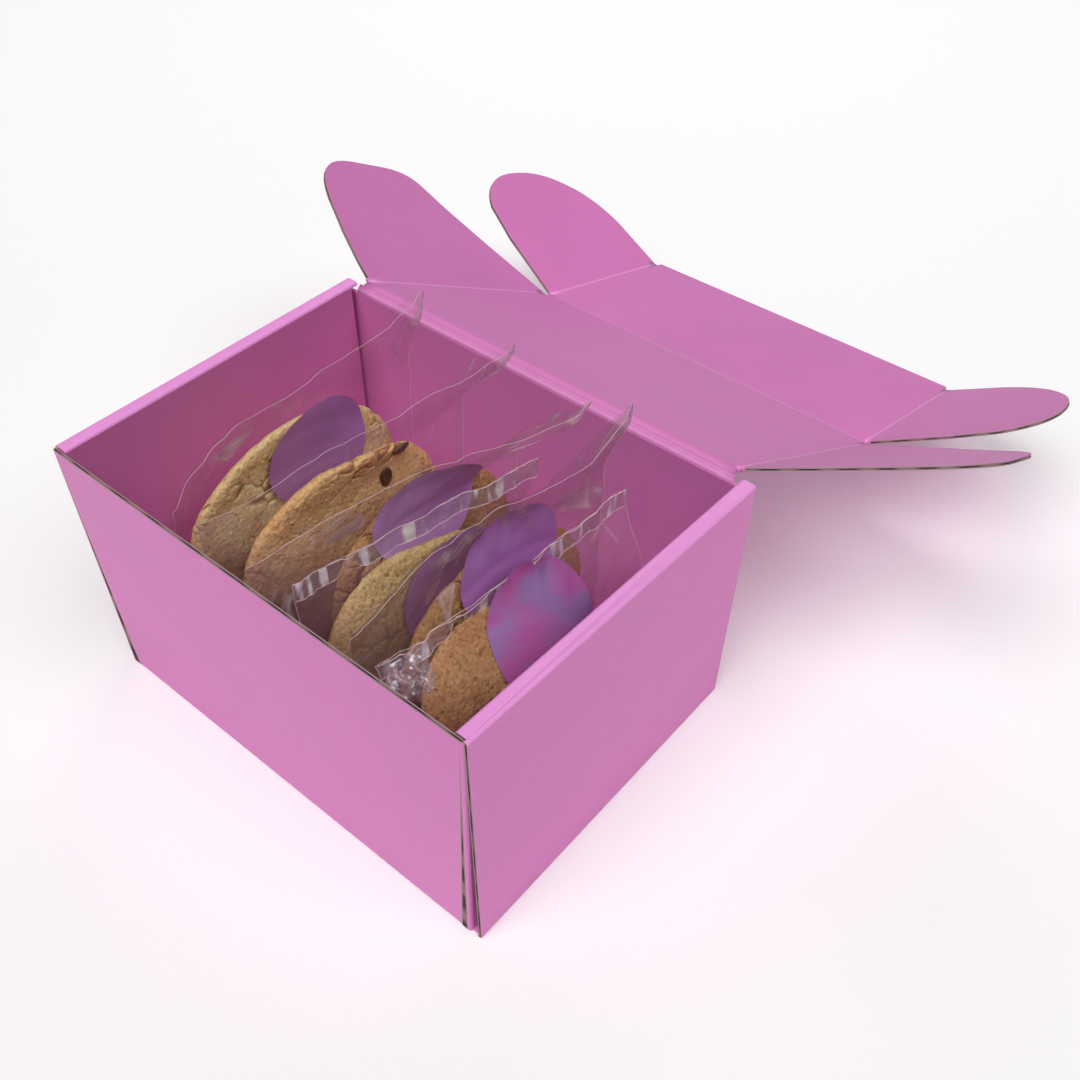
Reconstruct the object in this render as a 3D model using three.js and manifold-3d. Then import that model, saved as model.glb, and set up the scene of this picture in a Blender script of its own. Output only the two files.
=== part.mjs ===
// A mailer box of corrugated board, open, with six cookies in clear bags standing in it.
//
// Millimetres, +Z up. The origin is the centre of the box's underside. The front wall faces -Y, the lid
// is hinged on the back wall at +Y, and the bags stand in a row along X.
//
// The box is one folded sheet of board. Its panels are separate solids only where a crease lets them
// turn: the tray, the narrow strip between the two scores of the lid's crease, the lid, the tuck flap on
// the lid's free edge, and the two pairs of rounded ears. Every panel is drawn flat in its own group,
// hanging on the crease that carries it, and the groups' turns are the angles the creases rest at.

import * as THREE from 'three';
import { mergeVertices } from 'three/addons/utils/BufferGeometryUtils.js';
import Module from 'manifold-3d';

// ---------------------------------------------------------------- driving dimensions

const LENGTH = 207.5;               // outside, along X
const DEPTH = 150;                  // outside, along Y
const HEIGHT = 119.4;               // to the top of the rolled side walls
const BOARD = 1.5;                  // thickness of the fluted board
const GAP = 0.3;                    // between neighbouring solids

const ROLL = 6.3;                   // a side wall's thickness: two panels and the slot between them
const BASE_ROUND = 2.0;             // radius of the folds between base and walls
const FRONT_DROP = 0.6;             // the front wall's raw edge lies this far below the rolled tops
const FLAP_LENGTH = 62;             // the walls' end flaps, tucked in the side walls' slots
const FLAP_DROP = 2.2;              // and cut this far below the rolled tops
const UPRIGHT_FOLD = 1.6;           // radius of the corners' upright folds
const FRONT_FOLDS = {               // how far out the front wall's folds reach, at their foot and top
  left: { base: 99.8, top: 102.9 },
  right: { base: 99.0, top: 102.6 },
};
const FLAP_TURN = 12;               // behind the front wall its end flaps have slid into the side walls
const SPLAY = {                     // how far the side walls stand out at their tops' two ends
  left: { front: 0.15, back: 0.75 },
  right: { front: -0.3, back: 2.7 },
};
const FRONT_LEAN = 0.7;             // the front wall stands out by this at its top, and in at its foot
const CORNER_SLOT = 2.2;            // between a side wall's inner panel and the back wall
const OVERHANG = { left: -2.0, right: -0.6 }; // a side wall's raw front edge before the front wall's face

const CREASE_HEIGHT = 117;          // axis of the score along the top of the back wall
const CREASE_SET_BACK = 1.05;       // board ends this far from a score's axis, so that it can turn
const STRIP = 4.4;                  // between the two scores of the lid's crease
const STRIP_HALF_WIDTH = 97.2;
const LID_HALF_WIDTH = 95.5;
const LID_DEPTH = 141.4;
const TUCK_HALF_WIDTH = 93.85;      // narrower, so that its ears fold inside the lid's ears
const TUCK_DEPTH = 105;

// the angles the creases rest at, in degrees; the first two from level, the others from flat
const STRIP_RISE = 19;
const LID_FALL = 28.5;
const TUCK_FOLD = 13;
const LID_EAR_FOLDS = { left: 25, right: 24.4 };
const TUCK_EAR_FOLDS = { left: 31.3, right: 29.2 };

const COOKIE_HALF_THICKNESS = 9;
const FILM_HALF_THICKNESS = 0.6;    // half of a bag's flat margin
const RIM_CUT = 113;                // film above this height is a piece of its own, which a lid squashes
const LABEL_RADIUS = 24.8;
const LABEL_THICKNESS = 0.3;
const LABEL_GAP = 0.4;              // between a label and the bag behind it

// ---------------------------------------------------------------- materials

const material = (color, roughness, extra = {}) =>
  new THREE.MeshStandardMaterial({ color, roughness, metalness: 0, ...extra });

const pinkBoard = () => material('#d07fb6', 0.6);
const filmAndCookie = () => material('#b58455', 0.35);
const film = () => material('#e9c9dd', 0.12, { transparent: true, opacity: 0.4 });
const labelPaper = () => material('#8d62a8', 0.3);

// ---------------------------------------------------------------- solids

const wasm = await Module();
wasm.setup();

function solidOf(geometry) {
  const bare = geometry.clone();
  for (const name of Object.keys(bare.attributes)) {
    if (name !== 'position') bare.deleteAttribute(name);
  }
  const merged = mergeVertices(bare, 1e-4);
  return new wasm.Manifold(new wasm.Mesh({
    numProp: 3,
    vertProperties: new Float32Array(merged.attributes.position.array),
    triVerts: new Uint32Array(merged.index.array),
  }));
}

function geometryOf(solid) {
  const mesh = solid.getMesh();
  const geometry = new THREE.BufferGeometry();
  geometry.setAttribute('position', new THREE.BufferAttribute(mesh.vertProperties, 3));
  geometry.setIndex(new THREE.BufferAttribute(mesh.triVerts, 1));
  return geometry;
}

function union(geometries) {
  return geometryOf(geometries.map(solidOf).reduce((all, one) => all.add(one)));
}

// Where surfaces graze, a union can leave slivers behind. They are smoothed away.
function withoutSlivers(geometry) {
  const bodies = solidOf(geometry).simplify(0.02).decompose();
  return geometryOf(bodies.reduce((most, one) => (one.volume() > most.volume() ? one : most)));
}

function box(low, high) {
  const size = high.map((v, i) => v - low[i]);
  const geometry = new THREE.BoxGeometry(...size);
  geometry.translate(...low.map((v, i) => v + size[i] / 2));
  return geometry;
}

// The corners of a line without those that fall on the one before.
function distinct(points) {
  return points.filter((p, i) => p.distanceTo(points[(i + points.length - 1) % points.length]) > 1e-3);
}

// A flat outline pushed out from z = low to z = high.
function slab(shape, low, high, arcSteps = 6) {
  const outline = new THREE.Shape(distinct(shape.getPoints(arcSteps)));
  outline.holes = shape.holes;
  const geometry = new THREE.ExtrudeGeometry(outline, {
    depth: high - low, bevelEnabled: false, curveSegments: 1,
  });
  return geometry.translate(0, 0, low);
}

// The same, then stood up: the outline's x and y become X and Z, and it runs along Y.
function alongY(shape, low, high, arcSteps) {
  return slab(shape, -high, -low, arcSteps).rotateX(Math.PI / 2);
}

// The outline's x and y become Y and Z, and it runs along X.
function alongX(shape, low, high, arcSteps) {
  return slab(shape, low, high, arcSteps).rotateY(Math.PI / 2).rotateX(Math.PI / 2);
}

// A closed body between two outlines of equally many corners, one at height low and one at height high.
function loft(lowOutline, highOutline, low, high) {
  const count = lowOutline.length;
  const points = [
    ...lowOutline.map(([x, y]) => [x, y, low]),
    ...highOutline.map(([x, y]) => [x, y, high]),
  ];
  const faces = [];
  for (let i = 0; i < count; i += 1) {
    const next = (i + 1) % count;
    faces.push([i, next, count + next], [i, count + next, count + i]);
  }
  const contour = lowOutline.map(([x, y]) => new THREE.Vector2(x, y));
  for (const [a, b, c] of THREE.ShapeUtils.triangulateShape(contour, [])) {
    faces.push([a, c, b], [count + a, count + b, count + c]);
  }
  return facetted(points, faces);
}

function facetted(points, faces) {
  const geometry = new THREE.BufferGeometry();
  geometry.setAttribute('position', new THREE.Float32BufferAttribute(points.flat(), 3));
  geometry.setIndex(faces.flat());
  return geometry;
}

// A closed sheet with a front and a back surface over the same net of across x up cells. front and back
// turn a place on the net, 0 to 1 each way, into a point.
function sheet(front, back, across, up) {
  const points = [];
  for (const surface of [front, back]) {
    for (let j = 0; j <= up; j += 1) {
      for (let i = 0; i <= across; i += 1) points.push(surface(i / across, j / up));
    }
  }
  const at = (side, i, j) => (side * (up + 1) + j) * (across + 1) + i;
  const faces = [];
  const quad = (a, b, c, d) => faces.push([a, b, c], [a, c, d]);
  for (let j = 0; j < up; j += 1) {
    for (let i = 0; i < across; i += 1) {
      quad(at(0, i, j), at(0, i + 1, j), at(0, i + 1, j + 1), at(0, i, j + 1));
      quad(at(1, i, j), at(1, i, j + 1), at(1, i + 1, j + 1), at(1, i + 1, j));
    }
    quad(at(0, 0, j), at(0, 0, j + 1), at(1, 0, j + 1), at(1, 0, j));
    quad(at(0, across, j), at(1, across, j), at(1, across, j + 1), at(0, across, j + 1));
  }
  for (let i = 0; i < across; i += 1) {
    quad(at(0, i, 0), at(1, i, 0), at(1, i + 1, 0), at(0, i + 1, 0));
    quad(at(0, i, up), at(0, i + 1, up), at(1, i + 1, up), at(1, i, up));
  }
  return facetted(points, faces);
}

function named(name, geometry, paint) {
  const mesh = new THREE.Mesh(geometry, paint);
  mesh.name = name;
  return mesh;
}

// ---------------------------------------------------------------- tray

const HALF_LENGTH = LENGTH / 2;
const HALF_DEPTH = DEPTH / 2;
const INNER_HALF = HALF_LENGTH - ROLL;                       // to a side wall's inner face
const SLOT_LOW = INNER_HALF + BOARD;
const SLOT_HIGH = HALF_LENGTH - BOARD;
const FLAP_OUTSIDE = (SLOT_LOW + SLOT_HIGH + BOARD) / 2;     // outer face of a tucked end flap
const BACK_FOLDS = { base: FLAP_OUTSIDE, top: FLAP_OUTSIDE };
const WALL_END = 96;                                         // the front and back walls are straight to here

// A right-hand side wall in section, from its outer panel over the rolled top to the inner panel.
function rolledWall() {
  const shape = new THREE.Shape();
  shape.moveTo(HALF_LENGTH - BASE_ROUND, 0);
  shape.absarc(HALF_LENGTH - BASE_ROUND, BASE_ROUND, BASE_ROUND, -Math.PI / 2, 0, false);
  shape.absarc(SLOT_HIGH, HEIGHT - BOARD, BOARD, 0, Math.PI / 2, false);
  shape.absarc(SLOT_LOW, HEIGHT - BOARD, BOARD, Math.PI / 2, Math.PI, false);
  shape.lineTo(INNER_HALF, 0);
  const slot = new THREE.Path();
  slot.moveTo(SLOT_LOW, BOARD);
  slot.lineTo(SLOT_LOW, HEIGHT - BOARD);
  slot.lineTo(SLOT_HIGH, HEIGHT - BOARD);
  slot.lineTo(SLOT_HIGH, BOARD);
  shape.holes.push(slot);
  return shape;
}

// Before the front wall only the outer panel's raw edge stands out, and past the end of the inner panel
// only the outer panel and the roll go on.
function sideWall(overhang) {
  const front = -HALF_DEPTH + BOARD + GAP;
  const back = HALF_DEPTH - BOARD - CORNER_SLOT;
  const rawEdge = -HALF_DEPTH - overhang;
  const foot = HALF_LENGTH - BASE_ROUND;
  const cuts = [
    box([0, back, -1], [foot, HALF_DEPTH + 1, BOARD]),
    box([0, back, BOARD], [SLOT_HIGH, HALF_DEPTH + 1, HEIGHT - BOARD]),
  ];
  if (rawEdge < front) {
    cuts.push(
      box([0, rawEdge - 1, -1], [foot, front, BOARD]),
      box([0, rawEdge - 1, BOARD], [SLOT_HIGH, front, HEIGHT + 1]),
    );
  }
  const whole = solidOf(alongY(rolledWall(), rawEdge, HALF_DEPTH));
  return geometryOf(cuts.reduce((wall, cut) => wall.subtract(solidOf(cut)), whole));
}

// The base with the front and back walls, rounded where they fold up.
function troughSection() {
  const shape = new THREE.Shape();
  const out = HALF_DEPTH;
  const round = BASE_ROUND;
  const innerRound = BASE_ROUND - BOARD;
  shape.moveTo(-out, HEIGHT - FRONT_DROP);
  shape.lineTo(-out + BOARD, HEIGHT - FRONT_DROP);
  shape.absarc(-out + round, round, innerRound, -Math.PI, -Math.PI / 2, false);
  shape.absarc(out - round, round, innerRound, -Math.PI / 2, 0, false);
  shape.lineTo(out - BOARD, CREASE_HEIGHT - CREASE_SET_BACK);
  shape.lineTo(out, CREASE_HEIGHT - CREASE_SET_BACK);
  shape.absarc(out - round, round, round, 0, -Math.PI / 2, true);
  shape.absarc(-out + round, round, round, -Math.PI / 2, -Math.PI, true);
  return shape;
}

// One end of the front or back wall seen from above. It turns round an upright fold whose outer face is at
// outside, into an end flap that slides into the side wall.
function foldOutline(outside, steps = 5) {
  const wallFace = -HALF_DEPTH;
  const centre = [outside - UPRIGHT_FOLD, wallFace + UPRIGHT_FOLD];
  const arc = (r, from, to) => Array.from({ length: steps + 1 }, (_, i) => {
    const turn = from + ((to - from) * i) / steps;
    return [centre[0] + r * Math.cos(turn), centre[1] + r * Math.sin(turn)];
  });
  return [
    [WALL_END - BOARD, wallFace + BOARD],
    [WALL_END - BOARD, wallFace],
    ...arc(UPRIGHT_FOLD, -Math.PI / 2, 0),
    [FLAP_OUTSIDE, wallFace + FLAP_TURN],
    [FLAP_OUTSIDE, wallFace + FLAP_LENGTH],
    [FLAP_OUTSIDE - BOARD, wallFace + FLAP_LENGTH],
    [FLAP_OUTSIDE - BOARD, wallFace + FLAP_TURN],
    ...arc(UPRIGHT_FOLD - BOARD, 0, -Math.PI / 2),
  ];
}

// Behind the wall the flap is cut lower, to lie under the roll.
function wallEnd({ base, top }, height) {
  const end = loft(foldOutline(base), foldOutline(top), BOARD / 2, height);
  const lowered = HEIGHT - FLAP_DROP;
  if (height <= lowered) return end;
  const above = box([0, -HALF_DEPTH + BOARD, lowered], [LENGTH, HALF_DEPTH, HEIGHT + 1]);
  return geometryOf(solidOf(end).subtract(solidOf(above)));
}

// A right-hand side wall stands out at its top, more at one end than at the other. What lies nearer the
// middle than its inner panel stays.
function splayed(geometry, { front, back }) {
  const spots = geometry.attributes.position;
  for (let i = 0; i < spots.count; i += 1) {
    const along = (HALF_DEPTH + spots.getY(i)) / DEPTH;
    const near = THREE.MathUtils.clamp((spots.getX(i) - WALL_END) / (INNER_HALF - WALL_END), 0, 1);
    const out = THREE.MathUtils.lerp(front, back, along) * (spots.getZ(i) / HEIGHT);
    spots.setX(i, spots.getX(i) + out * near);
  }
  return geometry;
}

// The front wall leans outwards.
function leaning(geometry) {
  const spots = geometry.attributes.position;
  for (let i = 0; i < spots.count; i += 1) {
    const out = FRONT_LEAN * ((2 * spots.getZ(i)) / HEIGHT - 1);
    if (spots.getY(i) < 0) spots.setY(i, spots.getY(i) - out);
  }
  return geometry;
}

function mirroredX(geometry) {
  const copy = geometry.clone().scale(-1, 1, 1);
  const order = copy.index ?? new THREE.BufferAttribute(
    Uint32Array.from({ length: copy.attributes.position.count }, (_, i) => i), 1);
  const flipped = new Uint32Array(order.count);
  for (let i = 0; i < order.count; i += 3) {
    flipped[i] = order.getX(i);
    flipped[i + 1] = order.getX(i + 2);
    flipped[i + 2] = order.getX(i + 1);
  }
  return copy.setIndex(new THREE.BufferAttribute(flipped, 1));
}

function tray() {
  const side = (overhang, folds, splay) => [
    sideWall(overhang),
    wallEnd(folds, HEIGHT - FRONT_DROP),
    mirroredX(wallEnd(BACK_FOLDS, CREASE_HEIGHT - CREASE_SET_BACK)).rotateZ(Math.PI),
  ].map((geometry) => splayed(leaning(geometry), splay));
  const right = side(OVERHANG.right, FRONT_FOLDS.right, SPLAY.right);
  const left = side(OVERHANG.left, FRONT_FOLDS.left, SPLAY.left).map(mirroredX);
  const trough = leaning(alongX(troughSection(), -WALL_END, WALL_END));
  const floor = box([-HALF_LENGTH + BASE_ROUND, -HALF_DEPTH + BASE_ROUND, 0],
    [HALF_LENGTH - BASE_ROUND, HALF_DEPTH - BASE_ROUND, BOARD]);
  return named('tray', withoutSlivers(union([trough, floor, ...right, ...left])), pinkBoard());
}

// ---------------------------------------------------------------- lid, tuck flap and ears

// A strip of board with round edges that runs from one score's axis to the next.
function creaseStrip() {
  const shape = new THREE.Shape();
  const r = BOARD / 2;
  shape.absarc(0, 0, r, Math.PI / 2, (3 * Math.PI) / 2, false);
  shape.absarc(STRIP, 0, r, -Math.PI / 2, Math.PI / 2, false);
  return named('hinge_strip', alongX(shape, -STRIP_HALF_WIDTH, STRIP_HALF_WIDTH, 5), pinkBoard());
}

// An ear lies in its own XY plane: its crease runs up Y from 0, and it reaches out along +X.
function earShape(corners) {
  const shape = new THREE.Shape();
  const [first, ...rest] = corners;
  shape.moveTo(...first);
  const draw = { 2: 'lineTo', 4: 'quadraticCurveTo', 6: 'bezierCurveTo' };
  rest.forEach((p) => shape[draw[p.length]](...p));
  return shape;
}

// The lid's ear is a wedge with a flat top, two rounded shoulders and slanting sides.
function lidEarShape() {
  const reach = 84;
  return earShape([
    [GAP, 2.2], [13, 4.2], [31, 8.8], [54, 16.4], [76, 24.7, reach, 37, reach, 54], [reach, 76],
    [reach, 94, 77.5, 97, 70, 100.2], [58, 105.3], [34, 118.3], [GAP, 137],
  ]);
}

// The tuck flap's ear is like a quarter of a disc, straight along the lid and round at its far side.
function tuckEarShape() {
  return earShape([
    [GAP, 0.6], [38, 0.6], [59, 3.6], [70.5, 8.5, 77.4, 19, 77.4, 33], [77.4, 56, 69, 68, 58.5, 79.8],
    [47, 91, 31, 95.6], [GAP, 101],
  ]);
}

// An ear on its crease: side is +1 for the right-hand one, fold its angle up from the panel's plane.
function ear(name, shape, side, fold, halfWidth, surface) {
  const flat = slab(shape, -BOARD, 0, 8);
  const pivot = new THREE.Group();
  pivot.position.set(side * halfWidth, 0, surface);
  pivot.rotation.y = THREE.MathUtils.degToRad(-side * fold);
  pivot.add(named(name, side > 0 ? flat : mirroredX(flat), pinkBoard()));
  return pivot;
}

function tuckFlap() {
  const group = new THREE.Group();
  const panel = box([-TUCK_HALF_WIDTH, GAP / 2, -BOARD], [TUCK_HALF_WIDTH, TUCK_DEPTH, 0]);
  group.add(
    named('tuck_panel', panel, pinkBoard()),
    ear('tuck_ear_left', tuckEarShape(), -1, TUCK_EAR_FOLDS.left, TUCK_HALF_WIDTH, 0),
    ear('tuck_ear_right', tuckEarShape(), 1, TUCK_EAR_FOLDS.right, TUCK_HALF_WIDTH, 0),
  );
  group.position.set(0, LID_DEPTH, BOARD / 2);
  group.rotation.x = THREE.MathUtils.degToRad(TUCK_FOLD);
  return group;
}

function lid() {
  const group = new THREE.Group();
  const half = BOARD / 2;
  const panel = box([-LID_HALF_WIDTH, CREASE_SET_BACK, -half], [LID_HALF_WIDTH, LID_DEPTH - GAP / 2, half]);
  group.add(
    named('lid_panel', panel, pinkBoard()),
    ear('lid_ear_left', lidEarShape(), -1, LID_EAR_FOLDS.left, LID_HALF_WIDTH, half),
    ear('lid_ear_right', lidEarShape(), 1, LID_EAR_FOLDS.right, LID_HALF_WIDTH, half),
    tuckFlap(),
  );
  group.position.set(0, STRIP, 0);
  group.rotation.x = THREE.MathUtils.degToRad(-STRIP_RISE - LID_FALL);
  return group;
}

function hingedLid() {
  const group = new THREE.Group();
  group.add(creaseStrip(), lid());
  group.position.set(0, HALF_DEPTH - BOARD / 2, CREASE_HEIGHT);
  group.rotation.x = THREE.MathUtils.degToRad(STRIP_RISE);
  return group;
}

// ---------------------------------------------------------------- bags of cookies

const smooth = THREE.MathUtils.smoothstep;
const mix = THREE.MathUtils.lerp;

// Each bag stands on its lower edge, its flat faces towards -X and +X. x is the bag's place in the row at
// the cookie's height, and slew how far its back end is turned towards +X. lip lists where the top edge
// runs, from the front end to the back: [y, x, z]. cookie is its cookie's radius and how far it lies back.
// foot gives the Y of the lower edge's two ends, where the bag tapers otherwise than the rest do.
const BAGS = [
  { x: -63, slew: 0.09, cookie: [54, -1],
    lip: [[-60, -57, 103], [-48, -56, 116], [-31, -54, 126], [2, -52, 128], [32, -49, 134], [64, -46, 143]] },
  { x: -34, slew: 0.09, cookie: [52, -1],
    lip: [[-62, -39, 110], [-38, -31, 113], [-15, -24, 121], [12, -16, 124], [37, -9, 130], [66, 1, 137]] },
  { x: -6, slew: 0.09, cookie: [48, 14],
    lip: [[-62, -14, 104], [-43, -8, 109], [-18, 1, 116], [9, 14, 121], [38, 26, 122], [68, 38, 127]] },
  { x: 19.5, slew: 0.08, cookie: [48.5, -14], foot: [-66.4, 54],
    lip: [[-60, 9, 110], [-38, 14, 111], [2, 22, 111], [22, 27, 111], [43, 31, 111]] },
  { x: 41, slew: 0.08, cookie: [49, 5],
    lip: [[-61, 38, 104], [-48, 40, 112], [-27, 43, 121], [2, 47, 124], [32, 52, 121], [66, 57, 137]] },
  { x: 68, slew: 0.07, cookie: [46, -17], foot: [-66.4, 58],
    lip: [[-60, 48, 97], [-38, 53, 99], [2, 57, 101], [32, 60, 103], [57, 62, 104]] },
];
const BAG_FOOT = BOARD + GAP;
const BAG_TAPER = 3;                 // the bag's foot is narrower than its lip by this much at each end

// The lip's point at s, 0 at the front end and 1 at the back, on a smooth line through the list.
function lipPoint(bag, s) {
  const line = new THREE.CatmullRomCurve3(bag.lip.map(([y, x, z]) => new THREE.Vector3(x, y, z)));
  return line.getPoint(s);
}

// The middle of the bag at s across and height z, and half its thickness there.
function bagMiddle(bag, s, z) {
  const lip = lipPoint(bag, s);
  const [low, high] = bag.foot ?? [bag.lip[0][0] + BAG_TAPER, bag.lip.at(-1)[0] - BAG_TAPER];
  const rise = THREE.MathUtils.clamp((z - BAG_FOOT) / (lip.z - BAG_FOOT), 0, 1);
  const y = mix(mix(low, high, s), lip.y, rise);
  const x = mix(bag.x + bag.slew * y, lip.x, smooth(rise, 0.68, 1));
  const [radius, back] = bag.cookie;
  const away = Math.hypot(y - back, z - BAG_FOOT - radius - 2) / radius;
  const plump = 1 - smooth(away, 0.62, 1.12);
  return { x, y, half: FILM_HALF_THICKNESS + (COOKIE_HALF_THICKNESS - FILM_HALF_THICKNESS) * plump };
}

function wholeBag(bag) {
  const face = (side) => (s, t) => {
    const z = mix(BAG_FOOT, lipPoint(bag, s).z, t);
    const { x, y, half } = bagMiddle(bag, s, z);
    return [x + side * half, y, z];
  };
  return solidOf(sheet(face(1), face(-1), 12, 14));
}

// A bag is one solid up to the rim; what stands above is another, which the lid can press flat.
function bagPieces(bag, index) {
  const whole = wholeBag(bag);
  const body = geometryOf(whole.trimByPlane([0, 0, -1], GAP / 2 - RIM_CUT));
  const pieces = [named(`bag_${index + 1}`, body, filmAndCookie())];
  if (bag.lip.some(([, , z]) => z > RIM_CUT)) {
    const standing = geometryOf(whole.trimByPlane([0, 0, 1], RIM_CUT + GAP / 2));
    pieces.push(named(`bag_${index + 1}_lip`, standing, film()));
  }
  return pieces;
}

// Which bags carry a label on their +X face, and the centre of each label: [y, z].
const LABELS = { 1: [8, 91], 3: [11, 91], 4: [-1, 74], 5: [9, 92], 6: [1, 79] };

// A round label follows the face it is stuck to: it is the skin between that face moved out by the gap and
// by the gap and the label's thickness, as far as a round punch along X reaches.
function label(bag, index, [cy, cz]) {
  const whole = wholeBag(bag);
  const skin = whole.translate([LABEL_GAP + LABEL_THICKNESS, 0, 0])
    .subtract(whole.translate([LABEL_GAP, 0, 0]));
  const punch = new THREE.CylinderGeometry(LABEL_RADIUS, LABEL_RADIUS, LENGTH, 28);
  punch.rotateZ(Math.PI / 2).translate(0, cy, cz);
  return named(`label_${index + 1}`, geometryOf(skin.intersect(solidOf(punch))), labelPaper());
}

// ---------------------------------------------------------------- the whole

const cookieBox = new THREE.Group();
cookieBox.add(tray(), hingedLid());
BAGS.forEach((bag, index) => {
  cookieBox.add(...bagPieces(bag, index));
  const place = LABELS[index + 1];
  if (place) cookieBox.add(label(bag, index, place));
});

export default cookieBox;
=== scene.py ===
# %% [markdown]
# # A box of cookies
#
# A mailer box is one sheet of corrugated board, printed pink, cut out flat and folded up. Its side walls
# are rolled over so that no raw edge shows on top, and the lid, its tuck flap and four rounded ears are
# still open. Six big cookies stand in it on their edges, each in a clear bag, most with a round label.
#
# The frame gives every crease and every panel its place. This script dresses the panels in printed board
# with raw fluted edges, bends a strip of board over each crease, and puts a cookie and thin film where the
# frame has one plain solid for each bag.

import math
import random

import bmesh
import bpy
import numpy as np
from mathutils import Matrix, Vector, noise


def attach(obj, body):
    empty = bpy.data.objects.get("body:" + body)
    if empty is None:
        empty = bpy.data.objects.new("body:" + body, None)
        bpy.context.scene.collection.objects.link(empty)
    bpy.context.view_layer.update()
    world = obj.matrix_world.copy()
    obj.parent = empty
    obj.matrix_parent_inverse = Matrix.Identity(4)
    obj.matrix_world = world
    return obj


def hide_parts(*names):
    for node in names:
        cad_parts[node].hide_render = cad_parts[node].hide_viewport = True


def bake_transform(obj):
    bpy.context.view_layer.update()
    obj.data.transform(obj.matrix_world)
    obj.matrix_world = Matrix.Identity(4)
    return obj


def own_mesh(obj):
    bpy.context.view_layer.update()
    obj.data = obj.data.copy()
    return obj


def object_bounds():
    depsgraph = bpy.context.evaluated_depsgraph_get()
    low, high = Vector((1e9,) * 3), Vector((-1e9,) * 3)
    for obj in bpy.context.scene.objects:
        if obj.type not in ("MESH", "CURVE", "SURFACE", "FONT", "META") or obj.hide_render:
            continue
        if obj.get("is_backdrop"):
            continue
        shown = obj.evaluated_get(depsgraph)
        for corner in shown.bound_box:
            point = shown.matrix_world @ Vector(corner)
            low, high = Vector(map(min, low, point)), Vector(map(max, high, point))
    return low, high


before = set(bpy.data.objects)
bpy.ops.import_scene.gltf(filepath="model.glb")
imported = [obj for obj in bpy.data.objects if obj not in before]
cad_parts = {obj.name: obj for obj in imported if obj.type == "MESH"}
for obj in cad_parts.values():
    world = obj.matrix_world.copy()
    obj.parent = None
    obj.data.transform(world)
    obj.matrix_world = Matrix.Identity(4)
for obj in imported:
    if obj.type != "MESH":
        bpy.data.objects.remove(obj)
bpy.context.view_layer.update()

# %% [markdown]
# ## Units and small helpers
#
# The box is measured in millimetres and Blender works in metres, so lengths are written as numbers of MM.
# Every piece starts as a bmesh and ends as an object that sits at the origin with its place in its mesh.

# %% Helpers that turn a bmesh into a piece
MM = 0.001


def piece(name, bm, *materials, smooth_angle=40):
    mesh = bpy.data.meshes.new(name)
    bm.to_mesh(mesh)
    bm.free()
    for material in materials:
        mesh.materials.append(material)
    mesh.polygons.foreach_set("use_smooth", [True] * len(mesh.polygons))
    mesh.set_sharp_from_angle(angle=math.radians(smooth_angle))
    obj = bpy.data.objects.new(name, mesh)
    bpy.context.collection.objects.link(obj)
    return obj


def sheet(across, up, place):
    """A grid of across by up cells. place turns a spot on it, 0 to 1 each way, into a point."""
    bm = bmesh.new()
    bmesh.ops.create_grid(bm, x_segments=across, y_segments=up, size=0.5)
    for vert in bm.verts:
        vert.co = place(vert.co.x + 0.5, vert.co.y + 0.5)
    return bm


def smooth_step(value, low, high):
    t = min(max((value - low) / (high - low), 0.0), 1.0)
    return t * t * (3 - 2 * t)


def wobble(point, seed, octaves=3):
    """Fractal noise around 0 at a point, another pattern for each seed."""
    return noise.fractal(point + Vector((seed * 17.3, seed * 5.1, seed * 11.7)), 1.0, 2.0, octaves)


# %% [markdown]
# ## Materials
#
# A material is a small graph of nodes. These helpers add one node, set its sockets, and link them, so that
# each finish below reads as a short list of what it is made of.

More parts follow.
